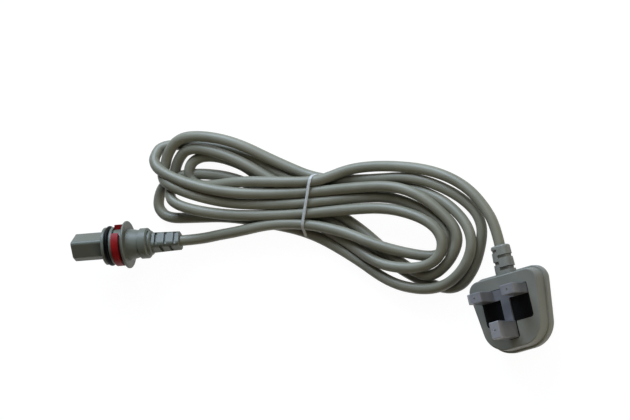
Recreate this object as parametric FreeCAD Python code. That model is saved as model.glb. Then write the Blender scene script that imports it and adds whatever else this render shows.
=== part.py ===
import FreeCAD, Part
import math
import os
from FreeCAD import Placement, Rotation, Vector

# A moulded three pin plug lying on its back, pins up, with its lead wound into a tied hank.
# Millimetres. X runs from the neutral pin to the line pin, Y towards the cord, Z along the pins.

# Plug body, measured from the line and neutral pins' centre line
body_depth = 18.0
back_depth = 9.0
body_top = 11.3
body_bottom = 32.8
half_width_top = 23.6
half_width_bottom = 17.8
corner_radius_top = 6.5
corner_radius_bottom = 14.0
front_draft = 0.7
back_overhang = 1.9
back_edge_radius = 5.0
face_edge_radius = 0.8
parting_edge_bevel = 0.6

# Pins
pin_pitch = 22.2
earth_drop = 22.2
pin_length = 17.7
earth_length = 22.7
pin_width = 6.35
pin_thickness = 3.97
earth_width = 3.97
earth_height = 7.92
pin_tip_bevel = 1.2
shroud_length = 9.5
shroud_wall = 0.55
shroud_start = 2.0
pin_root = 10.3
tail_thickness = 0.8
tail_width = 4.6

# Pin carrier, the dark insert in the face
carrier_depth = 12.0
carrier_end_wall = 2.0
carrier_pin_wall = 1.5
carrier_top = 3.7
carrier_bottom = 17.6
carrier_radius = 2.0
carrier_top_radius = 0.8
carrier_neck_radius = 0.6
tongue_half_width = 3.9
tongue_bottom = 27.6
tongue_radius = 1.5

# Fuse, its clips and the drawer that holds it
fuse_length = 25.4
fuse_radius = 3.175
cap_length = 5.6
cap_wall = 0.3
fuse_line = 10.4
drawer_plate = 2.2
drawer_end_room = 1.1
drawer_side_room = 2.025
drawer_radius = 0.8
drawer_gap = 0.15
drawer_wall = 1.2
drawer_skirt = 2.4
drawer_slot_width = 5.0
drawer_slot_depth = 0.8
clip_wall = 0.5
clip_length = 4.4
clip_rise = 1.6
clip_seat = 0.5

# Wire ends
crimp_radius = 1.6
crimp_length = 3.6
crimp_start = 5.2
core_radius = 1.1
strand_radius = 0.6
earth_crimp_start = 15.5
earth_core_drop = 3.3
earth_core_rise = 4.4
earth_tail_top = 5.6
core_spread = 1.5
core_straight = 2.2
neutral_crimp_offset = 5.7

# Strain relief of the plug
relief_length = 18.3
relief_end_width = 10.8
relief_end_height = 9.0
relief_end_corner = 3.2
relief_taper = 0.8
relief_end_round = 1.2
relief_height = 9.0
relief_inside = 3.0
slot_width = 1.9
slot_pitch = 7.3
slot_skin = 0.9
face_slot_skin = 0.4
slots_part_at = -1.0
first_side_slot = 3.2
sheath_inside = 13.6

# Pin guard
guard_wall = 1.0
guard_gap = 0.15
guard_end_wall = 1.0
guard_web_thickness = 1.5
guard_stem_width = 5.6
guard_edge_radius = 0.5
guard_hole_radius = 0.5

# Cord
cord_radius = 3.25

# Connector, along its own axis from the middle of the flange towards the nose
flange_radius = 14.25
flange_thickness = 1.6
flange_edge_bevel = 0.4
disc_radius = 11.25
disc_thickness = 1.9
disc_edge_bevel = 0.3
ring_bed = 6.6
seal_section = 1.45
seal_radius = 10.6
seal_gap = 0.05
lock_ring_radius = 12.5
lock_ring_width = 4.4
lock_ring_bed = 9.7
lock_ring_offset = 2.0
lock_ring_gap_angle = 43.0
lock_ring_gap_at = 56.0
lock_ring_play = 0.05
nose_length = 19.7
nose_width = 15.0
nose_height = 14.0
nose_bevel = 4.0
nose_corner = 2.0
nose_roll = 66.0
nose_end_radius = 0.9
contact_spread = 4.0
contact_drop = 2.6
contact_slot_width = 2.2
contact_slot_height = 3.8
contact_wall = 0.4
contact_length = 15.0
contact_recess = 1.0
spigot_wall = 2.0
cone_root_radius = 9.6
cone_neck_radius = 8.1
cone_length = 7.2
collar_radius = 9.2
collar_length = 5.6
collar_lip = 0.8
second_collar_radius = 7.3
second_collar_length = 2.3
grip_length = 17.6
grip_end_width = 9.4
grip_end_corner = 2.2
grip_taper = 0.6
grip_roll = 28.0
grip_slot_count = 3
grip_slot_width = 1.7
grip_slot_pitch = 5.9
grip_first_slot = 2.9
grip_slot_margin = 0.7
grip_slot_skin = 0.3
grip_end_bevel = 0.5
connector_sheath_inside = 22.0
connector_x = -238.6
connector_y = 94.3
connector_yaw = 169.8
connector_nose_up = 9.5

# Hank, in its own frame: along it from the tie towards the plug, and across it
hank_x = -115.6
hank_y = 86.8
hank_turn = -25.54
hank_height = 15.0
hank_edge_bevel = 2.5
shoulder = 4.0
cord_end_height = 7.0
connector_cord_end_height = 9.2
waist_middle = -0.6
waist_width = 34.0
waist_height = 12.0
waist_corner = 4.0
tie_thickness = 0.9
tie_width = 1.8
tie_play = 0.2

# Places that follow from the sizes above
relief_end = body_top + relief_length
lowest = body_bottom + back_overhang
pin_line = (lowest - relief_end) / 2
carrier_floor = body_depth - carrier_depth
pin_foot = body_depth - pin_root
drawer_length = fuse_length + 2 * drawer_end_room
drawer_width = 2 * fuse_radius + 2 * drawer_side_room
carrier_past_pin = pin_pitch / 2 + pin_width / 2 + carrier_pin_wall
carrier_half_width = max(drawer_length / 2 + carrier_end_wall, carrier_past_pin)
fuse_height = body_depth - drawer_plate - fuse_radius - drawer_gap
clip_floor = fuse_height - fuse_radius - clip_wall
pocket_floor = clip_floor - tail_thickness
clip_centre = fuse_length / 2 - cap_length / 2
crimp_height = clip_floor + crimp_radius
earth_crimp_height = earth_tail_top - tail_thickness - crimp_radius
guard_thickness = pin_thickness + 2 * (guard_wall + guard_gap)
disc_2_start = flange_thickness / 2 + ring_bed
seal_bed_length = 2 * seal_section + 2 * seal_gap
disc_1_start = disc_2_start + disc_thickness + seal_bed_length
nose_start = disc_1_start + disc_thickness
nose_end = nose_start + nose_length
seal_bed_radius = seal_radius - seal_section - seal_gap
cone_end = -flange_thickness / 2 - cone_length
collar_end = cone_end - collar_length
second_collar_end = collar_end - second_collar_length
grip_end = second_collar_end - grip_length
plug_centre = relief_height

os.makedirs("parts", exist_ok=True)


def block(x, y, z):
    """A box from its low and high bounds along each axis."""
    corner = Vector(x[0], y[0], z[0])
    return Part.makeBox(x[1] - x[0], y[1] - y[0], z[1] - z[0], corner)


def rod(start, end, radius):
    """A round bar between two points."""
    return Part.makeCylinder(radius, (end - start).Length, start, end - start)


def corner_arcs(corners):
    """Each (x, y, radius) corner's centre, start and end of its arc, radius, and turn in degrees."""
    arcs = []
    for i, (x, y, radius) in enumerate(corners):
        corner = Vector(x, y, 0)
        following = corners[(i + 1) % len(corners)]
        before = (Vector(corners[i - 1][0], corners[i - 1][1], 0) - corner).normalize()
        after = (Vector(following[0], following[1], 0) - corner).normalize()
        half = before.getAngle(after) / 2
        back = radius / math.tan(half)
        centre = corner + (before + after).normalize() * (radius / math.sin(half))
        arcs.append((centre, corner + before * back, corner + after * back, radius, 180 - 2 * math.degrees(half)))
    return arcs


def rounded_wire(corners, height=0.0):
    """A closed outline of straight sides, from (x, y, radius) corners."""
    arcs = corner_arcs(corners)
    edges = []
    for i, (centre, start, end, radius, turn) in enumerate(arcs):
        if radius > 0:
            middle = centre + ((start + end) / 2 - centre).normalize() * radius
            edges.append(Part.Arc(start, middle, end).toShape())
        edges.append(Part.LineSegment(end, arcs[(i + 1) % len(arcs)][1]).toShape())
    wire = Part.Wire(Part.sortEdges(edges)[0])
    wire.translate(Vector(0, 0, height))
    return wire


def grown_corners(corners, grow):
    """The same outline, moved outwards all round by grow."""
    grown = []
    for (x, y, radius), (centre, start, end, same, turn) in zip(corners, corner_arcs(corners)):
        share = (radius + grow) / radius
        grown.append((centre.x + (x - centre.x) * share, centre.y + (y - centre.y) * share, radius + grow))
    return grown


def rectangle_corners(width, height, radius, x=0.0, y=0.0):
    half, tall = width / 2, height / 2
    corners = [(x - half, y - tall), (x + half, y - tall), (x + half, y + tall), (x - half, y + tall)]
    return [(a, b, radius) for a, b in corners]


def prism(wire, length, direction=Vector(0, 0, 1)):
    return Part.Face(wire).extrude(direction * length)


def drafted(corners, length, grow):
    """A prism that starts as the outline of these corners, and whose sides slope outwards by grow."""
    far_corners = grown_corners(corners, grow)
    rise = Vector(0, 0, length)
    near, far = corner_arcs(corners), corner_arcs(far_corners)
    faces = [Part.Face(rounded_wire(corners)).reversed(), Part.Face(rounded_wire(far_corners, length))]
    for i, (centre, start, end, radius, turn) in enumerate(near):
        slope = Part.LineSegment(start, far[i][1] + rise).toShape()
        faces.append(slope.revolve(centre, Vector(0, 0, 1), turn))
        following = (i + 1) % len(corners)
        side = [end, near[following][1], far[following][1] + rise, far[i][2] + rise, end]
        faces.append(Part.Face(Part.makePolygon(side)))
    shell = Part.makeShell(faces)
    shell.sewShape()
    return Part.makeSolid(shell)


def bevel_where(shape, size, test):
    """Cuts the corner off the edges whose middle passes the test."""
    edges = [e for e in shape.Edges if test(e.CenterOfMass, e)]
    return shape.makeChamfer(size, edges)


def fillet_where(shape, radius, test):
    """Rounds the edges whose middle passes the test."""
    edges = [e for e in shape.Edges if test(e.CenterOfMass, e)]
    return shape.makeFillet(radius, edges)


def joined(shapes):
    whole = shapes[0]
    for shape in shapes[1:]:
        whole = whole.fuse(shape)
    return whole.removeSplitter()


def route(points):
    """Straight runs joined by arcs as large as the runs beside them allow. Returns the path and the arcs' radii."""
    edges = []
    radii = []
    at = points[0]
    for before, corner, after in zip(points, points[1:], points[2:]):
        inward = (before - corner).normalize()
        outward = (after - corner).normalize()
        turn = math.pi - inward.getAngle(outward)
        back = 0.45 * min((before - corner).Length, (after - corner).Length)
        radius = back / math.tan(turn / 2)
        start = corner + inward * back
        end = corner + outward * back
        bisector = (inward + outward).normalize()
        middle = corner + bisector * (radius / math.cos(turn / 2) - radius)
        edges.append(Part.LineSegment(at, start).toShape())
        edges.append(Part.Arc(start, middle, end).toShape())
        radii.append(radius)
        at = end
    edges.append(Part.LineSegment(at, points[-1]).toShape())
    return Part.Wire(edges), radii


def tube(points, radius, name):
    """A solid round tube along a route."""
    path, radii = route(points)
    ring = Part.Circle(points[0], points[1] - points[0], radius).toShape()
    solid = path.makePipeShell([Part.Wire(ring)], True, False)
    share = solid.Volume / (math.pi * radius ** 2 * path.Length)
    print(name, "length", round(path.Length, 1), "radii", [round(r) for r in radii], "volume share", round(share, 4))
    return solid


def save(shape, name, place=None):
    """Writes one node, moved to its place in the whole."""
    solid = shape.copy()
    if place is not None:
        solid.Placement = place.multiply(solid.Placement)
    solid.exportStep("parts/" + name + ".step")


def body_shell():
    """Front and back halves that meet at a stepped parting line."""
    face = [
        (-half_width_bottom, -body_bottom, corner_radius_bottom),
        (half_width_bottom, -body_bottom, corner_radius_bottom),
        (half_width_top, body_top, corner_radius_top),
        (-half_width_top, body_top, corner_radius_top),
    ]
    front = drafted(grown_corners(face, front_draft), body_depth - back_depth, -front_draft)
    front.translate(Vector(0, 0, back_depth))
    front = fillet_where(front, face_edge_radius, lambda c, e: abs(c.z - body_depth) < 0.01)
    back = prism(rounded_wire(grown_corners(face, back_overhang)), back_depth)
    back = bevel_where(back, parting_edge_bevel, lambda c, e: abs(c.z - back_depth) < 0.01)
    back = fillet_where(back, back_edge_radius, lambda c, e: abs(c.z) < 0.01)
    return front, back


def plug_relief():
    """The slotted sleeve that takes the cord's bending, narrower towards its end."""
    end = rectangle_corners(relief_end_width, relief_end_height, relief_end_corner)
    sleeve = drafted(end, relief_length + relief_inside, relief_taper)
    sleeve = fillet_where(sleeve, relief_end_round, lambda c, e: abs(c.z) < 0.01)
    sleeve.Placement = Placement(Vector(0, relief_end, relief_height), Rotation(Vector(1, 0, 0), 90))
    keep = cord_radius + slot_skin
    keep_face = cord_radius + face_slot_skin
    reach = relief_end_width + relief_taper
    slots = []
    for i in range(2):
        left_at = relief_end - first_side_slot - i * slot_pitch
        right_at = left_at - slot_pitch / 2
        for at, far in ((left_at, -reach), (right_at, reach)):
            y = (at - slot_width / 2, at + slot_width / 2)
            x = sorted((slots_part_at, far))
            ring = block(x, y, (relief_height - reach, relief_height + reach))
            kept = block((-keep, keep), y, (relief_height - keep_face, relief_height + keep_face))
            slots.append(ring.cut(kept))
    return sleeve.cut(Part.makeCompound(slots))


def carrier_outline(height, gap=0.0):
    half = carrier_half_width + gap
    neck = tongue_half_width + gap
    low = -carrier_bottom - gap
    corners = [(-neck, -tongue_bottom - gap, tongue_radius), (neck, -tongue_bottom - gap, tongue_radius)]
    top = carrier_top + gap
    corners += [(neck, low, carrier_neck_radius), (half, low, carrier_radius), (half, top, carrier_top_radius)]
    corners += [(-half, top, carrier_top_radius), (-half, low, carrier_radius), (-neck, low, carrier_neck_radius)]
    return rounded_wire(corners, height)


def blade(width, thickness, length, x, y):
    """A pin's bar from its foot to its bevelled tip."""
    top = body_depth + length
    bar = block((x - width / 2, x + width / 2), (y - thickness / 2, y + thickness / 2), (pin_foot, top))
    return bar.makeChamfer(pin_tip_bevel, [e for e in bar.Edges if e.BoundBox.ZMin > top - 0.01])


def shroud(x):
    """The insulating sleeve, flush with the pin's bare end."""
    z = (body_depth - shroud_start, body_depth + shroud_length)
    outer = block((x - pin_width / 2, x + pin_width / 2), (-pin_thickness / 2, pin_thickness / 2), z)
    half = pin_width / 2 - shroud_wall
    thin = pin_thickness / 2 - shroud_wall
    return outer.cut(block((x - half, x + half), (-thin, thin), z))


def crimp(x, start, height):
    """A barrel squeezed round a wire's bare end, with the wire's bore through it."""
    low = Vector(x, start, height)
    high = Vector(x, start + crimp_length, height)
    return rod(low, high, crimp_radius).cut(rod(low, high, strand_radius))


def fuse_clip(side):
    """A springy U that grips one cap of the fuse, open towards the face."""
    middle = side * clip_centre
    start = Vector(middle - clip_length / 2, -fuse_line, fuse_height)
    end = start + Vector(clip_length, 0, 0)
    inner = fuse_radius
    outer = fuse_radius + clip_wall
    x = (start.x, end.x)
    base = rod(start, end, outer)
    legs = block(x, (-fuse_line - outer, -fuse_line + outer), (fuse_height, fuse_height + clip_rise))
    room = rod(start, end, inner)
    mouth = block(x, (-fuse_line - inner, -fuse_line + inner), (fuse_height, fuse_height + outer))
    above = block(x, (-fuse_line - outer, -fuse_line + outer), (fuse_height + clip_rise, body_depth))
    seat = block(x, (-fuse_line - inner, -fuse_line + inner), (clip_floor, clip_floor + clip_seat))
    return joined([base, legs, seat]).cut(above).cut(room).cut(mouth)


def tail(x, y):
    """A flat strip in the bottom of the carrier."""
    return block(x, y, (pocket_floor, clip_floor))


def core(points, bare_end, name):
    """An insulated wire, with its bare strands inside the crimp."""
    wire = tube(points, core_radius, name)
    return joined([wire, rod(points[-1], bare_end, strand_radius)])


def plug_parts():
    """Every piece of the plug, by name, with the pins' centre line on the X axis."""
    parts = {}
    side = pin_pitch / 2
    half_tail = tail_width / 2
    clip_edge = fuse_line + half_tail

    shrouds = {x: shroud(x) for x in (-side, side)}
    line_bar = blade(pin_width, pin_thickness, pin_length, side, 0).cut(shrouds[side])
    line_tail = tail((clip_centre - half_tail, side + half_tail), (-clip_edge, 0))
    parts["line_pin"] = joined([line_bar, line_tail])
    neutral_bar = blade(pin_width, pin_thickness, pin_length, -side, 0).cut(shrouds[-side])
    crimp_end = crimp_start + crimp_length
    neutral_x = -side + neutral_crimp_offset
    neutral_foot = tail((-side - half_tail, neutral_x + crimp_radius), (-half_tail / 2, half_tail / 2))
    neutral_tail = tail((neutral_x - crimp_radius, neutral_x + crimp_radius), (0, crimp_end))
    parts["neutral_pin"] = joined([neutral_bar, neutral_foot, neutral_tail])
    earth_bar = blade(earth_width, earth_height, earth_length, 0, -earth_drop)
    earth_foot = block(
        (-earth_width / 2, earth_width / 2),
        (-earth_drop - earth_height / 2, -earth_drop + earth_height / 2),
        (earth_tail_top - tail_thickness, pin_foot),
    )
    earth_strip = block(
        (-crimp_radius, crimp_radius),
        (-earth_drop, -earth_crimp_start + crimp_length),
        (earth_tail_top - tail_thickness, earth_tail_top),
    )
    parts["earth_pin"] = joined([earth_bar, earth_foot, earth_strip])
    parts["line_pin_sleeve"] = shrouds[side]
    parts["neutral_pin_sleeve"] = shrouds[-side]

    left = Vector(-fuse_length / 2, -fuse_line, fuse_height)
    right = Vector(fuse_length / 2, -fuse_line, fuse_height)
    whole_fuse = rod(left, right, fuse_radius)
    inner_left = left + Vector(cap_length, 0, 0)
    inner_right = right - Vector(cap_length, 0, 0)
    cap_end = Vector(cap_wall, 0, 0)
    ceramic = joined([
        rod(left + cap_end, right - cap_end, fuse_radius - cap_wall),
        rod(inner_left, inner_right, fuse_radius - cap_wall / 2),
    ])
    caps = whole_fuse.cut(ceramic).cut(rod(inner_left, inner_right, 2 * fuse_radius))
    parts["fuse_tube"] = ceramic
    for name, solid in zip(("fuse_cap_left", "fuse_cap_right"), sorted(caps.Solids, key=lambda s: s.CenterOfMass.x)):
        parts[name] = solid
    parts["line_fuse_clip"] = fuse_clip(1)
    load_strip = joined([
        tail((-clip_centre - half_tail, crimp_radius), (-fuse_line - half_tail, -fuse_line + half_tail)),
        tail((-crimp_radius, crimp_radius), (-fuse_line, crimp_end)),
    ])
    parts["load_fuse_clip"] = joined([fuse_clip(-1), load_strip])

    parts["line_crimp"] = crimp(0, crimp_start, crimp_height)
    parts["neutral_crimp"] = crimp(neutral_x, crimp_start, crimp_height)
    parts["earth_crimp"] = crimp(0, -earth_crimp_start, earth_crimp_height)

    sheath_start = relief_end - sheath_inside
    parts["plug_cord_end"] = rod(
        Vector(0, sheath_start, plug_centre), Vector(0, relief_end, plug_centre), cord_radius
    )
    bare = Vector(0, -crimp_length, 0)
    straight = Vector(0, core_straight, 0)
    line_start = Vector(0, sheath_start, crimp_height)
    line_end = Vector(0, crimp_end, crimp_height)
    parts["line_core"] = joined([
        rod(line_start, line_end, core_radius), rod(line_end, line_end + bare, strand_radius)
    ])
    core_level = plug_centre - core_spread / 2
    neutral_start = Vector(-core_spread, sheath_start, core_level)
    neutral_end = Vector(neutral_x, crimp_end, crimp_height)
    neutral_route = [neutral_start, neutral_start - straight, neutral_end + straight, neutral_end]
    parts["neutral_core"] = core(neutral_route, neutral_end + bare, "neutral_core")
    earth_start = Vector(core_spread, sheath_start, core_level)
    earth_end = Vector(0, -earth_crimp_start + crimp_length, earth_crimp_height)
    earth_route = [
        earth_start,
        earth_start - Vector(0, earth_core_drop, 0),
        Vector(core_spread, carrier_top, earth_crimp_height),
        earth_end + Vector(0, earth_core_rise, 0),
        earth_end,
    ]
    parts["earth_core"] = core(earth_route, earth_end + bare, "earth_core")
    metal = ["line_pin", "neutral_pin", "earth_pin", "line_pin_sleeve", "neutral_pin_sleeve"]
    metal += ["line_fuse_clip", "load_fuse_clip", "line_crimp", "neutral_crimp", "earth_crimp"]
    wiring = ["plug_cord_end", "line_core", "neutral_core", "earth_core"]

    parts["fuse_carrier"] = drawer(whole_fuse, parts)
    parts["pin_carrier"] = carrier(parts, metal + wiring)
    front, back = body_shell()
    shell = joined([front, back, plug_relief()])
    shell = shell.cut(prism(carrier_outline(carrier_floor), carrier_depth))
    for name in metal + wiring:
        shell = shell.cut(parts[name])
    parts["plug_body"] = shell
    parts["pin_guard"] = guard()
    return parts


def drawer_outline(gap, height):
    """The fuse drawer's outline in the face."""
    corners = rectangle_corners(drawer_length + 2 * gap, drawer_width + 2 * gap, drawer_radius, 0, -fuse_line)
    return rounded_wire(corners, height)


def drawer(whole_fuse, parts):
    """The plate that closes the fuse pocket, with a skirt that snaps over the fuse and a slot to lift it by."""
    low = body_depth - drawer_plate - drawer_skirt
    plate = prism(drawer_outline(0, low), drawer_plate + drawer_skirt)
    inside = block(
        (-drawer_length / 2 + drawer_wall, drawer_length / 2 - drawer_wall),
        (-fuse_line - drawer_width / 2 + drawer_wall, -fuse_line + drawer_width / 2 - drawer_wall),
        (low, body_depth - drawer_plate),
    )
    y = -fuse_line - drawer_width / 2
    slot = block(
        (-drawer_slot_width / 2, drawer_slot_width / 2),
        (y, y + drawer_slot_depth),
        (body_depth - drawer_plate / 2, body_depth),
    )
    solid = plate.cut(inside).cut(slot).cut(whole_fuse)
    for name in ("line_fuse_clip", "load_fuse_clip"):
        solid = solid.cut(parts[name])
    return solid


def carrier(parts, names):
    """The insert that holds the pins and the fuse, with its pocket open at the face."""
    solid = prism(carrier_outline(carrier_floor), carrier_depth)
    solid = solid.cut(prism(drawer_outline(drawer_gap, clip_floor), body_depth - clip_floor))
    for name in names:
        solid = solid.cut(parts[name])
    return solid


def guard_sleeve(width, thickness, length, x, y):
    """One closed sleeve of the guard, and the room inside it."""
    top = body_depth + length + guard_gap + guard_end_wall
    wall = guard_gap + guard_wall
    outer = block(
        (x - width / 2 - wall, x + width / 2 + wall),
        (y - thickness / 2 - wall, y + thickness / 2 + wall),
        (body_depth, top),
    )
    outer = fillet_where(outer, guard_edge_radius, lambda c, e: c.z > body_depth + 0.01)
    room = block(
        (x - width / 2 - guard_gap, x + width / 2 + guard_gap),
        (y - thickness / 2 - guard_gap, y + thickness / 2 + guard_gap),
        (body_depth, body_depth + length + guard_gap),
    )
    hole = rod(Vector(x, y, body_depth), Vector(x, y, top), guard_hole_radius)
    return outer, room.fuse(hole)


def guard():
    """Three sleeves joined by a thin T-shaped web that lies on the plug's face."""
    side = pin_pitch / 2
    sleeves = [
        guard_sleeve(pin_width, pin_thickness, pin_length, -side, 0),
        guard_sleeve(pin_width, pin_thickness, pin_length, side, 0),
        guard_sleeve(earth_width, earth_height, earth_length, 0, -earth_drop),
    ]
    z = (body_depth, body_depth + guard_web_thickness)
    bar = block((-side, side), (-guard_thickness / 2, guard_thickness / 2), z)
    stem = block((-guard_stem_width / 2, guard_stem_width / 2), (-earth_drop, 0), z)
    whole = joined([outer for outer, room in sleeves] + [bar, stem])
    for outer, room in sleeves:
        whole = whole.cut(room)
    return whole


def turned(profile):
    """A solid of revolution about the X axis from (x, radius) points."""
    points = [Vector(x, 0, r) for x, r in profile]
    wire = Part.makePolygon(points + [points[0]])
    return Part.Face(wire).revolve(Vector(0, 0, 0), Vector(1, 0, 0), 360)


def rim(start, end, radius, bevel):
    """The profile of a disc's edge, with both its corners cut."""
    step = math.copysign(bevel, end - start)
    return [(start, radius - bevel), (start + step, radius), (end - step, radius), (end, radius - bevel)]


def along_axis(solid, at, roll):
    """A solid made upwards from the origin, laid along the connector's axis and turned about it."""
    upright = Rotation(Vector(1, 1, 1), 120)
    solid.Placement = Placement(Vector(at, 0, 0), Rotation(Vector(1, 0, 0), roll).multiply(upright))
    return solid


def nose_corners():
    """Flat on one broad side, bevelled at both corners of the other."""
    half = nose_width / 2
    tall = nose_height / 2
    corners = [(-half, tall), (-half, -tall + nose_bevel), (-half + nose_bevel, -tall)]
    corners += [(half - nose_bevel, -tall), (half, -tall + nose_bevel), (half, tall)]
    return [(x, y, nose_corner) for x, y in corners]


def contact_places():
    return {"line": (-contact_spread, -contact_drop / 2), "neutral": (contact_spread, -contact_drop / 2),
            "earth": (0, contact_drop)}


def nose_box(place, grow, x):
    """A contact's room in the nose, turned with it."""
    wide = contact_slot_width / 2 + grow
    tall = contact_slot_height / 2 + grow
    solid = block(x, (place[0] - wide, place[0] + wide), (place[1] - tall, place[1] + tall))
    solid.rotate(Vector(0, 0, 0), Vector(1, 0, 0), nose_roll)
    return solid


def connector_parts():
    """Every piece of the connector, by name, along its own X axis."""
    parts = {}
    core_end = flange_thickness / 2 - cone_length
    spigot_radius = cord_radius + spigot_wall
    nose = prism(rounded_wire(nose_corners()), nose_length)
    nose = fillet_where(nose, nose_end_radius, lambda c, e: c.z > nose_length - 0.01)
    nose = along_axis(nose, nose_start, nose_roll)
    profile = [(core_end, 0), (core_end, spigot_radius), (flange_thickness / 2, spigot_radius)]
    profile += [(flange_thickness / 2, lock_ring_bed), (disc_2_start, lock_ring_bed)]
    profile += rim(disc_2_start, disc_2_start + disc_thickness, disc_radius, disc_edge_bevel)
    profile += [(disc_2_start + disc_thickness, seal_bed_radius), (disc_1_start, seal_bed_radius)]
    profile += rim(disc_1_start, nose_start, disc_radius, disc_edge_bevel)
    spigot = turned(profile + [(nose_start, 0)])
    body = joined([nose, spigot])
    for name, place in contact_places().items():
        room = nose_box(place, 0, (nose_end - contact_recess - contact_length, nose_end - contact_recess))
        bore = nose_box(place, -contact_wall, (nose_end - contact_length, nose_end - contact_recess))
        parts[name + "_contact"] = room.cut(bore)
        body = body.cut(room).cut(nose_box(place, -contact_wall, (nose_end - contact_recess, nose_end)))

    seal = Part.makeTorus(seal_radius, seal_section, Vector(0, 0, 0), Vector(1, 0, 0))
    seal.translate(Vector(disc_1_start - seal_section - seal_gap, 0, 0))
    parts["seal_ring"] = seal

    ring_start = flange_thickness / 2 + lock_ring_offset
    ring = turned([
        (ring_start, lock_ring_bed + lock_ring_play), (ring_start, lock_ring_radius),
        (ring_start + lock_ring_width, lock_ring_radius), (ring_start + lock_ring_width, lock_ring_bed + lock_ring_play),
    ])
    reach = 2 * lock_ring_radius
    half = math.radians(lock_ring_gap_angle / 2)
    wedge = Part.makePolygon([
        Vector(ring_start, 0, 0), Vector(ring_start, -reach * math.sin(half), reach * math.cos(half)),
        Vector(ring_start, reach * math.sin(half), reach * math.cos(half)), Vector(ring_start, 0, 0),
    ])
    opening = Part.Face(wedge).extrude(Vector(lock_ring_width, 0, 0))
    opening.rotate(Vector(0, 0, 0), Vector(1, 0, 0), lock_ring_gap_at)
    parts["lock_ring"] = ring.cut(opening)

    shell = connector_shell()
    sheath_end = grip_end + connector_sheath_inside
    sheath = rod(Vector(grip_end, 0, 0), Vector(sheath_end, 0, 0), cord_radius)
    parts["connector_cord_end"] = sheath
    contact_back = nose_end - contact_recess - contact_length
    for i, (name, place) in enumerate(contact_places().items()):
        angle = math.radians(nose_roll)
        y = place[0] * math.cos(angle) - place[1] * math.sin(angle)
        z = place[0] * math.sin(angle) + place[1] * math.cos(angle)
        gather = core_spread / math.hypot(y, z)
        wire = rod(Vector(sheath_end, y * gather, z * gather), Vector(contact_back, y, z), core_radius)
        wire = wire.cut(parts[name + "_contact"]).cut(sheath)
        parts["connector_" + name + "_core"] = wire
        body = body.cut(wire)
        shell = shell.cut(wire)
    parts["connector_body"] = body.cut(sheath)
    parts["connector_shell"] = shell.cut(sheath).cut(body)
    return parts


def connector_shell():
    """Flange, cone, two collars and the slotted sleeve that takes the cord's bending."""
    half = flange_thickness / 2
    shoulder_slope = (collar_radius - cone_neck_radius) / 2
    profile = [(half, 0)] + rim(half, -half, flange_radius, flange_edge_bevel)
    profile += [(-half, cone_root_radius), (cone_end, cone_neck_radius), (cone_end - shoulder_slope, collar_radius)]
    profile += [(collar_end + collar_lip, collar_radius), (collar_end, collar_radius - collar_lip)]
    profile += [(collar_end, second_collar_radius), (second_collar_end + collar_lip, second_collar_radius)]
    profile += [(second_collar_end, second_collar_radius - collar_lip), (second_collar_end, 0)]
    end = rectangle_corners(grip_end_width, grip_end_width, grip_end_corner)
    grip = drafted(end, grip_length + collar_lip, grip_taper)
    grip = bevel_where(grip, grip_end_bevel, lambda c, e: abs(c.z) < 0.01)
    grip = along_axis(grip, grip_end, grip_roll)
    slots = []
    for i in range(grip_slot_count):
        for turn in range(4):
            at = grip_end + grip_first_slot + (i + (turn % 2) / 2) * grip_slot_pitch
            if at > second_collar_end - grip_slot_width:
                continue
            span = grip_end_width / 2 - grip_slot_margin
            slot = block((at - grip_slot_width / 2, at + grip_slot_width / 2), (-span, span),
                         (cord_radius + grip_slot_skin, grip_end_width))
            slot.rotate(Vector(0, 0, 0), Vector(1, 0, 0), grip_roll + 90 * turn)
            slots.append(slot)
    return joined([turned(profile), grip]).cut(Part.makeCompound(slots))


def connector_place():
    """The connector lies on its flange's rim, its nose turned up a little."""
    tilt = math.radians(connector_nose_up)
    height = flange_radius * math.cos(tilt) + (flange_thickness / 2 - flange_edge_bevel) * math.sin(tilt)
    turn = Rotation(Vector(0, 0, 1), connector_yaw).multiply(Rotation(Vector(0, 1, 0), -connector_nose_up))
    return Placement(Vector(connector_x, connector_y, height), turn)


def hank_place():
    return Placement(Vector(hank_x, hank_y, 0), Rotation(Vector(0, 0, 1), hank_turn))


def on_hank(along, across, height):
    return hank_place().multVec(Vector(along, across, height))


def cord_routes(connector):
    """The two free runs: from the plug to the hank, and from the connector to the hank."""
    plug_exit = Vector(0, pin_line + relief_end, plug_centre)
    plug_run = [
        plug_exit,
        plug_exit + Vector(0, 12.5, 0),
        Vector(-4.3, 57.4, 8.7),
        Vector(-11.8, 70, 8.2),
        Vector(-23.5, 80.8, 7.7),
        Vector(-38.5, 89.3, 7.3),
        on_hank(50, 33.6, cord_end_height),
        on_hank(34, 30, cord_end_height),
    ]
    connector_exit = connector.multVec(Vector(grip_end, 0, 0))
    connector_run = [
        connector_exit,
        connector.multVec(Vector(grip_end - 12, 0, 0)),
        on_hank(-58, -29.3, connector_cord_end_height),
        on_hank(-46, -25, connector_cord_end_height),
    ]
    return plug_run, connector_run


def shoulder_corners(run):
    """The two corners of the flat that a run's end meets, in the hank's frame."""
    back = hank_place().inverse()
    end, before = back.multVec(run[-1]), back.multVec(run[-2])
    across = (before - end).normalize().cross(Vector(0, 0, 1)) * shoulder
    return [(end + across), (end - across)]


def natural_radius(before, here, after):
    """The largest arc at a corner of the hank's outline that its two sides leave room for."""
    start, corner, end = (Vector(x, y, 0) for x, y in (before, here, after))
    turn = math.pi - (start - corner).getAngle(end - corner)
    return 0.45 * min((start - corner).Length, (end - corner).Length) / math.tan(turn / 2)


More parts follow.
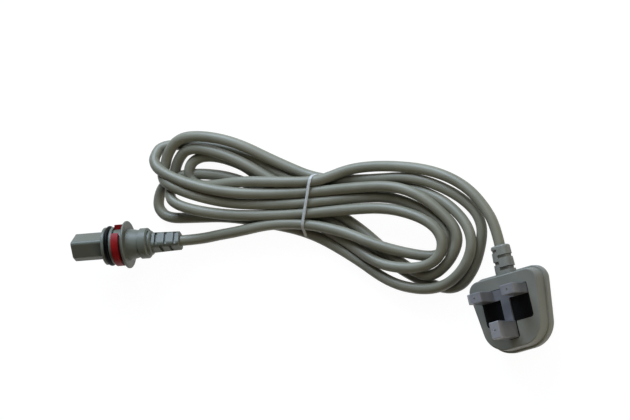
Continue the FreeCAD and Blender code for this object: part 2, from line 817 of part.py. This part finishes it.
def hank(plug_run, connector_run):
    """The outer shape of the wound cord, waisted under the tie."""
    plug_flat = shoulder_corners(plug_run)
    connector_flat = shoulder_corners(connector_run)
    plug_lobe = [(4, -19.5), (34, -31), (66, -39), (89, -38), (107, -29), (116, -8), (104, 20), (80, 29.5), (52, 27.5)]
    far_lobe = [(-8, 19), (-35, 21), (-72, 32), (-101, 24), (-117.5, 11), (-112, -20), (-96, -28.5), (-74, -29)]
    flats = [(v.x, v.y) for v in plug_flat + connector_flat]
    outline = plug_lobe + flats[:2] + far_lobe + flats[2:]
    corners = []
    for i, here in enumerate(outline):
        radius = 0 if here in flats else natural_radius(outline[i - 1], here, outline[(i + 1) % len(outline)])
        corners.append((here[0], here[1], radius))
    solid = prism(rounded_wire(corners), hank_height)
    solid = bevel_where(solid, hank_edge_bevel, lambda c, e: abs(c.z - hank_height / 2) > hank_height / 2 - 0.01)
    groove = Part.makeBox(
        tie_width + 2 * tie_play, 4 * waist_width, 4 * hank_height,
        Vector(-tie_width / 2 - tie_play, -2 * waist_width, -2 * hank_height),
    )
    groove = groove.cut(waist_bar(0, tie_width + 2 * tie_play))
    return solid.cut(groove)


def waist_bar(grow, length):
    """A bar of the waist's section, larger all round by grow."""
    wire = rounded_wire(rectangle_corners(waist_width + 2 * grow, waist_height + 2 * grow, waist_corner + grow))
    middle = Vector(-length / 2, waist_middle, hank_height / 2)
    wire.Placement = Placement(middle, Rotation(Vector(1, 1, 1), 120))
    return prism(wire, length, Vector(1, 0, 0))


plug_place = Placement(Vector(0, pin_line, 0), Rotation())
for name, solid in plug_parts().items():
    save(solid, name, plug_place)

connector = connector_place()
for name, solid in connector_parts().items():
    save(solid, name, connector)

plug_run, connector_run = cord_routes(connector)
save(tube(plug_run, cord_radius, "cord_plug_run"), "cord_plug_run")
save(tube(connector_run, cord_radius, "cord_connector_run"), "cord_connector_run")
save(hank(plug_run, connector_run), "cord_hank", hank_place())
tie = waist_bar(tie_thickness, tie_width).cut(waist_bar(0, tie_width))
save(tie, "hank_tie", hank_place())
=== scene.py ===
import math

import bpy
from mathutils import Matrix, Vector


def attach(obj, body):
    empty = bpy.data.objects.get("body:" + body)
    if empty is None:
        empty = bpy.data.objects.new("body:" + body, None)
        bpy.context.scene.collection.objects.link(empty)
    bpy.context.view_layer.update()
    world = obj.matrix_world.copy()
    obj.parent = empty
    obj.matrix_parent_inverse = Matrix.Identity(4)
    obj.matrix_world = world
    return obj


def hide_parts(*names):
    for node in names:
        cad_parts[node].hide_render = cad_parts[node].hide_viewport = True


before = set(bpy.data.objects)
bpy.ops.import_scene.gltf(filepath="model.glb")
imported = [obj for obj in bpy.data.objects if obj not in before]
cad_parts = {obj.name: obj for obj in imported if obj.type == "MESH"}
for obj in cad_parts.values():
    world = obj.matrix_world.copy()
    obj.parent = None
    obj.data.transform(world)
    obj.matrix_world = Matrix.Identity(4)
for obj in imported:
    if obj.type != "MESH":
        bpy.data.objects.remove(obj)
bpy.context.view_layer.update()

mm = 0.001
print("frame loaded,", len(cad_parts), "nodes")


# ---- camera: a long lens that looks down on the plug from its earth pin's left side
viewSetup = {
    "aim": (-0.1185, 0.0847, 0.0),
    "right": (0.8635, -0.2230, -0.4523),
    "up": (0.2509, 0.9680, 0.0016),
    "distance": 10.0,
    "lens": 954.3,
    "sensor": 36,
    "farthest": 60,
}


def addCamera(values):
    right = Vector(values["right"]).normalized()
    back = right.cross(Vector(values["up"])).normalized()
    up = back.cross(right)
    data = bpy.data.cameras.new("viewCamera")
    data.lens = values["lens"]
    data.sensor_width = values["sensor"]
    data.clip_end = values["farthest"]
    seen = bpy.data.objects.new("viewCamera", data)
    bpy.context.scene.collection.objects.link(seen)
    place = Matrix((right, up, back)).transposed().to_4x4()
    place.translation = Vector(values["aim"]) + back * values["distance"]
    seen.matrix_world = place
    bpy.context.scene.camera = seen


addCamera(viewSetup)
print("camera set")


# ---- small helpers for modelling as by hand
def pickOnly(piece):
    bpy.ops.object.select_all(action="DESELECT")
    piece.select_set(True)
    bpy.context.view_layer.objects.active = piece


def applyAll(piece):
    pickOnly(piece)
    for name in [modifier.name for modifier in piece.modifiers]:
        bpy.ops.object.modifier_apply(modifier=name)


def settle(piece, angle=35):
    pickOnly(piece)
    bpy.ops.object.transform_apply(location=True, rotation=True, scale=True)
    bpy.ops.object.mode_set(mode="EDIT")
    bpy.ops.mesh.select_all(action="SELECT")
    bpy.ops.mesh.normals_make_consistent(inside=False)
    bpy.ops.object.mode_set(mode="OBJECT")
    bpy.ops.object.shade_smooth_by_angle(angle=math.radians(angle))
    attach(piece, "root")


# ---- the lead: one line from the connector, round the hank and into the plug
lead = {
    "diameter": 0.0065,
    "length": 2.487,
    "hankX": -0.1156,
    "hankY": 0.0868,
    "hankTurn": -25.54,
    # from the connector's relief, in metres, then along, across and above the hank, in millimetres
    "fromConnector": [(-0.2061, 0.0884, 0.0085), (-0.1944, 0.0863, 0.0066)],
    "intoHank": [(-58, -29.3, 7.6), (-46, -25, 8.4), (-24, -15.8, 9.4)],
    # and from the last pass under the tie to the plug's relief, likewise
    "outOfHank": [(8, 18.6, 10), (20, 26, 7.5), (34, 30.5, 6.5), (50, 33.6, 7)],
    "toPlug": [
        (-0.0385, 0.0893, 0.0073),
        (-0.0235, 0.0808, 0.0077),
        (-0.0118, 0.0700, 0.0082),
        (-0.0043, 0.0574, 0.0087),
        (0.0, 0.04465, 0.009),
        (0.0, 0.03215, 0.009),
    ],
    "lastTie": (14.2, 10.8),
    "pointsPerTurn": 12,
    "stepsPerPoint": 8,
    "roundness": 5,
}

# Each turn in millimetres: how far it reaches (left ones are negative), how full its corners are,
# where it passes under the tie, and how far across and how high it lies at five even steps round it.
turns = [
    {
        "reach": 91.5, "corner": 0.91, "tie": (-11.3, 10),
        "across": (-14.7, -15.2, -4.9, 6.9, 15), "high": (13.4, 5, 6.1, 5.7, 6.5),
    },
    {
        "reach": -102.5, "corner": 0.92, "tie": (1.5, 10),
        "across": (-9.5, -6.1, 2.8, 23.3, 27.6), "high": (9.6, 14.2, 7.1, 10.5, 11.6),
    },
    {
        "reach": 113, "corner": 0.91, "tie": (15.1, 3.4),
        "across": (29.5, 19.5, -1, -31.3, -26.3), "high": (5.9, 3.7, 3.5, 3.6, 3.3),
    },
    {
        "reach": -105, "corner": 0.91, "tie": (-3.9, 3.4),
        "across": (6, -0.5, -16, -26.5, -17.8), "high": (3.4, 3.3, 3.3, 3.4, 3.3),
    },
    {
        "reach": 110.5, "corner": 0.88, "tie": (-16.5, 3.4),
        "across": (-35.4, -30.4, -5.8, 13.4, 23), "high": (8.4, 10.4, 9.8, 7.1, 3.5),
    },
    {
        "reach": -109, "corner": 0.93, "tie": (8.8, 3.4),
        "across": (22, 17.5, 10.5, 0.9, -3.3), "high": (3.5, 3.3, 8.5, 14.2, 14.2),
    },
    {
        "reach": 100.5, "corner": 0.86, "tie": (8, 10),
        "across": (22.5, 12.6, -3, -27, -18.5), "high": (12.3, 9.8, 8.7, 8.5, 5.7),
    },
    {
        "reach": -97, "corner": 0.92, "tie": (2.5, 3.4),
        "across": (17.3, 17.8, -2.6, -16.2, -16.2), "high": (9.8, 8.2, 3.7, 14.2, 9.5),
    },
    {
        "reach": 92.5, "corner": 0.9, "tie": (-4.9, 10),
        "across": (8.3, 4.7, -8.6, -21.2, -25.4), "high": (12.4, 12.6, 12.6, 14.2, 11.4),
    },
    {
        "reach": -87, "corner": 0.9, "tie": (-10.2, 3.4),
        "across": (13.1, 15.2, 5.4, -3.6, 5.6), "high": (3.3, 4.1, 5.9, 4.9, 12.6),
    },
]
shoulder = 0.54     # share of the reach at a turn's first and last step
startPace = 0.605   # share of the reach that a step covers as it leaves the tie
upperRow = 9        # passes higher than this run on slantwise across the tie
upperSlant = 0.25


def onHank(along, across, high):
    turned = math.radians(lead["hankTurn"])
    return (
        lead["hankX"] + mm * (along * math.cos(turned) - across * math.sin(turned)),
        lead["hankY"] + mm * (along * math.sin(turned) + across * math.cos(turned)),
        mm * high,
    )


def slant(tie):
    return upperSlant if tie[1] > upperRow else 0


def eased(values, share, first=0.0, final=0.0):
    # a smooth value at that share of the way along the list, with those slopes at its ends
    last = len(values) - 1
    step = min(int(share * last), last - 1)
    part = share * last - step
    lean = [first] + [(values[i + 1] - values[i - 1]) / 2 for i in range(1, last)] + [final]
    return (
        (2 * part**3 - 3 * part**2 + 1) * values[step]
        + (part**3 - 2 * part**2 + part) * lean[step]
        + (3 * part**2 - 2 * part**3) * values[step + 1]
        + (part**3 - part**2) * lean[step + 1]
    )


def leadPoints():
    spots = list(lead["fromConnector"]) + [onHank(*spot) for spot in lead["intoHank"]]
    ties = [turn["tie"] for turn in turns] + [lead["lastTie"]]
    for turn, start, end in zip(turns, ties, ties[1:]):
        reach = turn["reach"]
        side, corner, pace = shoulder * reach, turn["corner"] * reach, startPace * reach
        for step in range(lead["pointsPerTurn"]):
            share = step / lead["pointsPerTurn"]
            along = eased([0, side, corner, reach, corner, side, 0], share, pace, -pace)
            across = [start[0], *turn["across"], end[0]]
            across = eased(across, share, slant(start) * pace, -slant(end) * pace)
            high = eased([start[1], *turn["high"], end[1]], share)
            spots.append(onHank(along, across, high))
    spots.append(onHank(0, *lead["lastTie"]))
    return spots + [onHank(*spot) for spot in lead["outOfHank"]] + list(lead["toPlug"])


def addLead(spots):
    shape = bpy.data.curves.new("mainsCord", "CURVE")
    shape.dimensions = "3D"
    line = shape.splines.new("NURBS")
    line.points.add(len(spots) - 1)
    for point, spot in zip(line.points, spots):
        point.co = (*spot, 1)
        point.radius = lead["diameter"] / 2
    line.order_u = 3
    line.use_endpoint_u = True
    line.resolution_u = lead["stepsPerPoint"]
    shape.bevel_depth = 1.0    # times each point's radius, so that the curve's box is its true one
    shape.bevel_resolution = lead["roundness"]
    shape.use_fill_caps = True
    cord = bpy.data.objects.new("mainsCord", shape)
    bpy.context.scene.collection.objects.link(cord)
    return cord


mainsCord = addLead(leadPoints())
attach(mainsCord, "root")
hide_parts("cord_plug_run", "cord_hank", "cord_connector_run")
print("lead laid")


# ---- the tie: a thin band drawn round all the strands
tie = {
    "along": -1.6,
    "width": 1.8,
    "thick": 0.7,
    "gap": 0.05,
    "rounding": 0.2,
    "steps": 72,
    "facings": 180,
    "grazing": 0.02,    # facings nearer to the band's own direction than this don't count
}


def bandRadius(angle, strands, radius):
    # how far out the taut band lies at that angle from the middle of the bundle
    best = None
    for step in range(tie["facings"]):
        facing = 2 * math.pi * step / tie["facings"]
        apart = math.cos(facing - angle)
        if apart > tie["grazing"]:
            reach = radius + max(a * math.cos(facing) + b * math.sin(facing) for a, b in strands)
            best = reach / apart if best is None else min(best, reach / apart)
    return best


def addTie():
    passes = [turn["tie"] for turn in turns] + [lead["lastTie"]]
    middle = [sum(spot[i] for spot in passes) / len(passes) for i in (0, 1)]
    strands = [(spot[0] - middle[0], spot[1] - middle[1]) for spot in passes]
    bpy.ops.object.select_all(action="DESELECT")
    bpy.ops.mesh.primitive_circle_add(vertices=tie["steps"], radius=lead["diameter"])
    band = bpy.context.object
    band.name = band.data.name = "bundleTie"
    radius = lead["diameter"] / 2 / mm + tie["gap"]
    for vertex in band.data.vertices:
        angle = math.atan2(vertex.co.y, vertex.co.x)
        out = bandRadius(angle, strands, radius)
        across = middle[0] + out * math.cos(angle)
        high = max(middle[1] + out * math.sin(angle), tie["thick"] + tie["gap"])
        vertex.co = onHank(tie["along"] - tie["width"] / 2, across, high)
    wide = Vector(onHank(tie["width"], 0, 0)) - Vector(onHank(0, 0, 0))
    bpy.ops.object.mode_set(mode="EDIT")
    bpy.ops.mesh.select_all(action="SELECT")
    bpy.ops.mesh.extrude_edges_move(TRANSFORM_OT_translate={"value": wide})
    bpy.ops.mesh.select_all(action="SELECT")
    bpy.ops.mesh.normals_make_consistent(inside=False)
    bpy.ops.object.mode_set(mode="OBJECT")
    wall = band.modifiers.new("wall", "SOLIDIFY")
    wall.thickness = tie["thick"] * mm
    wall.offset = 1
    rounding = band.modifiers.new("rounding", "BEVEL")
    rounding.width = tie["rounding"] * mm
    rounding.segments = 2
    rounding.limit_method = "ANGLE"
    applyAll(band)
    settle(band)
    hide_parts("hank_tie")
    return band


bundleTie = addTie()
print("tie drawn round the hank")


# ---- materials: Wire wraps a socket, so shader maths can be written as Python
class Wire:
    def __init__(self, tree, socket):
        self.tree = tree
        self.socket = socket

    def node(self, kind, settings=None, inputs=None, output=0):
        made = self.tree.nodes.new("ShaderNode" + kind)
        for name, value in (settings or {}).items():
            setattr(made, name, value)
        for name, value in (inputs or {}).items():
            if isinstance(value, Wire):
                self.tree.links.new(value.socket, made.inputs[name])
            else:
                made.inputs[name].default_value = value
        return Wire(self.tree, made.outputs[output])

    def sum(self, operation, first, second):
        return self.node("Math", {"operation": operation}, {0: first, 1: second})

    def __add__(self, other):
        return self.sum("ADD", self, other)

    __radd__ = __add__

    def __mul__(self, other):
        return self.sum("MULTIPLY", self, other)

    __rmul__ = __mul__

    def limit(self):
        # kept between 0 and 1
        return self.sum("MINIMUM", self.sum("MAXIMUM", self, 0.0), 1.0)

    def part(self, axis):
        return self.node("SeparateXYZ", None, {"Vector": self}, "XYZ".index(axis))

    def ramp(self, low, high):
        # 0 below low, 1 above high, an easy curve between
        settings = {"interpolation_type": "SMOOTHSTEP"}
        return self.node("MapRange", settings, {"Value": self, "From Min": low, "From Max": high})

    def blend(self, first, second):
        # a colour mix by this wire's value
        return self.node("Mix", {"data_type": "RGBA"}, {0: self, 6: first, 7: second}, 2)

    def noise(self, scale, detail, rough, stretch=None):
        place = self
        if stretch:
            place = self.node("Mapping", None, {"Vector": self, "Scale": stretch})
        values = {"Vector": place, "Scale": scale, "Detail": detail, "Roughness": rough}
        return self.node("TexNoise", None, values)

    def bump(self, distance, strength, under=None):
        values = {"Height": self, "Distance": distance, "Strength": strength}
        if under:
            values["Normal"] = under
        return self.node("Bump", None, values)


def paint(red, green, blue):
    # screen values 0 to 255 to the linear colour that Blender keeps
    parts = [value / 255 for value in (red, green, blue)]
    return tuple(p / 12.92 if p < 0.04045 else ((p + 0.055) / 1.055) ** 2.4 for p in parts) + (1.0,)


def newFinish(name):
    # an empty material with its Object coordinates and its shader
    material = bpy.data.materials.new(name)
    material.use_nodes = True
    tree = material.node_tree
    tree.nodes.clear()
    end = tree.nodes.new("ShaderNodeOutputMaterial")
    shader = tree.nodes.new("ShaderNodeBsdfPrincipled")
    tree.links.new(shader.outputs[0], end.inputs[0])
    place = Wire(tree, tree.nodes.new("ShaderNodeTexCoord").outputs["Object"])
    return material, shader, place


def setShader(shader, fixed, changing):
    for name, value in fixed.items():
        shader.inputs[name].default_value = value
    for name, wire in changing.items():
        wire.tree.links.new(wire.socket, shader.inputs[name])


def softPlastic(name, tone, pale, dark, grain, shine):
    # moulded soft PVC: fine spark grain, faint flow marks, a little dirt where it was handled
    material, shader, place = newFinish(name)
    flow = place.noise(scale=28, detail=4, rough=0.6)
    fine = place.noise(scale=grain, detail=3, rough=0.55)
    speck = place.noise(scale=900, detail=2, rough=0.5).ramp(low=0.66, high=0.74)
    colour = flow.ramp(low=0.32, high=0.68).blend(dark, pale)
    colour = (speck * 0.25).blend(colour, tone)
    waves = flow.bump(distance=0.0006, strength=0.25)
    changing = {
        "Base Color": colour,
        "Roughness": shine + 0.14 * flow + 0.1 * fine,
        "Normal": fine.bump(distance=0.00012, strength=0.45, under=waves),
    }
    setShader(shader, {"IOR": 1.5}, changing)
    return material


finishes = {
    "plugBody": {
        "tone": paint(88, 87, 80), "pale": paint(128, 128, 118), "dark": paint(116, 116, 107),
        "grain": 2600, "shine": 0.38,
    },
    "connector": {
        "tone": paint(68, 70, 60), "pale": paint(98, 101, 89), "dark": paint(88, 91, 80),
        "grain": 2200, "shine": 0.36,
    },
    "cord": {
        "tone": paint(86, 85, 71), "pale": paint(131, 129, 112), "dark": paint(118, 116, 99),
        "grain": 1500, "shine": 0.34,
    },
}

bodyGrey = softPlastic("bodyGrey", **finishes["plugBody"])
connectorGrey = softPlastic("connectorGrey", **finishes["connector"])
cordGrey = softPlastic("cordGrey", **finishes["cord"])


def insertPlastic(name, tone, pale, shine):
    # hard black moulding: even spark grain with faint scuffs
    material, shader, place = newFinish(name)
    fine = place.noise(scale=3200, detail=2, rough=0.5)
    scuff = place.noise(scale=160, detail=5, rough=0.7, stretch=(1, 3, 1)).ramp(low=0.58, high=0.78)
    changing = {
        "Base Color": (scuff * 0.35).blend(tone, pale),
        "Roughness": shine + 0.2 * scuff + 0.1 * fine,
        "Normal": fine.bump(distance=0.0001, strength=0.4),
    }
    setShader(shader, {"Specular IOR Level": 0.2}, changing)
    return material


insertBlack = insertPlastic("insertBlack", paint(7, 8, 8), paint(24, 25, 25), shine=0.4)
sleeveBlack = insertPlastic("sleeveBlack", paint(20, 20, 21), paint(58, 58, 58), shine=0.3)


def clearGuard(name):
    # frosted see-through moulding: milky, with cloudy patches and fine scratches
    material, shader, place = newFinish(name)
    cloud = place.noise(scale=60, detail=3, rough=0.5)
    speckle = place.noise(scale=700, detail=3, rough=0.6)
    scratch = place.noise(scale=500, detail=2, rough=0.5, stretch=(1, 1, 6)).ramp(low=0.6, high=0.75)
    # paler and closer (less see-through) towards the sleeves' closed ends, where the moulding is
    # thick; the paler colour there is partly a painted highlight on these upturned ends
    end = place.part("Z").ramp(low=0.034, high=0.0415)
    clear = end.blend(paint(118, 120, 126), paint(150, 149, 151))
    changing = {
        "Base Color": (0.5 * cloud.ramp(low=0.3, high=0.7)).blend(clear, paint(158, 156, 157)),
        "Roughness": 0.24 + 0.14 * cloud + 0.16 * scratch,
        "Alpha": (0.6 + 0.12 * cloud + 0.2 * end).limit(),
        "Normal": speckle.bump(distance=0.0001, strength=0.3),
    }
    setShader(shader, {"IOR": 1.46, "Coat Weight": 0.15, "Coat Roughness": 0.2}, changing)
    return material


guardClear = clearGuard("guardClear")


def metalFinish(name, pale, dark, shine):
    # drawn metal with duller stained patches
    material, shader, place = newFinish(name)
    drawn = place.noise(scale=420, detail=4, rough=0.6, stretch=(1, 1, 0.12))
    stain = place.noise(scale=90, detail=4, rough=0.6).ramp(low=0.45, high=0.75)
    changing = {
        "Base Color": stain.blend(pale, dark),
        "Roughness": shine + 0.2 * stain + 0.12 * drawn,
        "Normal": drawn.bump(distance=0.00006, strength=0.3),
    }
    setShader(shader, {"Metallic": 1.0}, changing)
    return material


pinBrass = metalFinish("pinBrass", paint(208, 180, 118), paint(150, 118, 66), shine=0.24)
fuseCap = metalFinish("fuseCap", paint(205, 205, 200), paint(150, 150, 146), shine=0.2)


def plainPlastic(name, pale, dark, shine, scale=220, depth=0.0001, gloss=0.5):
    # a small plain piece: slow patches of two tones over a fine grain
    material, shader, place = newFinish(name)
    patch = place.noise(scale, detail=4, rough=0.6)
    grain = place.noise(8 * scale, detail=2, rough=0.5)
    changing = {
        "Base Color": patch.ramp(low=0.35, high=0.7).blend(dark, pale),
        "Roughness": shine + 0.2 * patch,
        "Normal": grain.bump(depth, strength=0.4),
    }
    setShader(shader, {"Specular IOR Level": gloss}, changing)
    return material


fuseCeramic = plainPlastic("fuseCeramic", paint(214, 206, 188), paint(186, 176, 156), shine=0.3)
coreBrown = plainPlastic("coreBrown", paint(116, 72, 44), paint(88, 52, 32), shine=0.34)
coreBlue = plainPlastic("coreBlue", paint(52, 96, 160), paint(36, 74, 130), shine=0.34)
coreEarth = plainPlastic("coreEarth", paint(120, 160, 62), paint(96, 136, 44), shine=0.34)
ringRed = plainPlastic(
    "ringRed", paint(150, 13, 15), paint(128, 9, 11), shine=0.42, scale=140, depth=0.00012, gloss=0.25
)
sealBlack = plainPlastic(
    "sealBlack", paint(4, 5, 5), paint(2, 3, 3), shine=0.4, scale=260, depth=0.00012, gloss=0.1
)
tieGrey = plainPlastic(
    "tieGrey", paint(200, 200, 195), paint(178, 179, 175), shine=0.3, scale=300, depth=0.00008
)

wearers = [
    (bodyGrey, ["plug_body"]),
    (insertBlack, ["pin_carrier", "fuse_carrier"]),
    (guardClear, ["pin_guard"]),
    (sleeveBlack, ["line_pin_sleeve", "neutral_pin_sleeve"]),
    (pinBrass, ["line_pin", "neutral_pin", "earth_pin"]),
    (pinBrass, ["line_fuse_clip", "load_fuse_clip", "line_crimp", "neutral_crimp", "earth_crimp"]),
    (pinBrass, ["line_contact", "neutral_contact", "earth_contact"]),
    (fuseCeramic, ["fuse_tube"]),
    (fuseCap, ["fuse_cap_left", "fuse_cap_right"]),
    (coreBrown, ["line_core", "connector_line_core"]),
    (coreBlue, ["neutral_core", "connector_neutral_core"]),
    (coreEarth, ["earth_core", "connector_earth_core"]),
    (cordGrey, ["plug_cord_end", "connector_cord_end"]),
    (connectorGrey, ["connector_body", "connector_shell"]),
    (sealBlack, ["seal_ring"]),
    (ringRed, ["lock_ring"]),
]


def dress(piece, material):
    piece.data.materials.clear()
    piece.data.materials.append(material)


for material, names in wearers:
    for name in names:
        dress(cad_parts[name], material)
dress(mainsCord, cordGrey)
dress(bundleTie, tieGrey)
print("materials on")


# ---- floor and light
floorSetup = {
    "size": 6.0,
    "tone": paint(140, 140, 118),    # what the floor throws back on the lead
    "seen": paint(236, 237, 238),    # and what the camera sees of it, under its share of plain white
    "white": 0.9,
    "glow": 1.07,
}


def addFloor(values):
    bpy.ops.object.select_all(action="DESELECT")
    bpy.ops.mesh.primitive_plane_add(size=values["size"], location=(0, 0, 0))
    floor = bpy.context.object
    floor.name = "paleFloor"
    material = bpy.data.materials.new("paleFloor")
    material.use_nodes = True
    tree = material.node_tree
    tree.nodes.clear()
    end = tree.nodes.new("ShaderNodeOutputMaterial")
    rays = tree.nodes.new("ShaderNodeLightPath").outputs
    direct, mirrored, through = [
        Wire(tree, rays["Is %s Ray" % kind]) for kind in ("Camera", "Glossy", "Transmission")
    ]
    shown = (direct + mirrored + through).limit()
    matt = shown.node("BsdfDiffuse", None, {"Color": shown.blend(values["tone"], values["seen"])})
    white = shown.node("Emission", None, {"Color": (1, 1, 1, 1), "Strength": values["glow"]})
    mixed = shown.node("MixShader", None, {0: shown * values["white"], 1: matt, 2: white})
    tree.links.new(mixed.socket, end.inputs[0])
    dress(floor, material)


lamps = {
    "skyLamp": {"spot": (-0.1, 1.7, 0.75), "size": 1.2, "power": 47, "colour": (0.66, 0.8, 1.0)},
    "topLamp": {"spot": (1.0, 0.9, 1.4), "size": 1.0, "power": 9, "colour": (0.9, 0.93, 1.0)},
    "lowLamp": {"spot": (1.1, -1.1, 0.55), "size": 0.9, "power": 7, "colour": (1.0, 0.92, 0.72)},
}
middle = (-0.12, 0.08, 0.0)


def addLamp(name, spot, size, power, colour):
    data = bpy.data.lights.new(name, "AREA")
    data.shape = "DISK"
    data.size = size
    data.energy = power
    data.color = colour
    lamp = bpy.data.objects.new(name, data)
    bpy.context.scene.collection.objects.link(lamp)
    lamp.location = spot
    lamp.rotation_euler = (Vector(spot) - Vector(middle)).to_track_quat("Z", "Y").to_euler()


def addWorld(colour, strength):
    world = bpy.data.worlds.new("studio")
    bpy.context.scene.world = world
    world.use_nodes = True
    shade = world.node_tree.nodes["Background"]
    shade.inputs[0].default_value = colour
    shade.inputs[1].default_value = strength


addFloor(floorSetup)
for name, values in lamps.items():
    addLamp(name, **values)
addWorld(colour=(1.0, 0.97, 0.92, 1.0), strength=0.1)
bpy.context.scene.view_settings.view_transform = "Standard"
print("floor and light set")
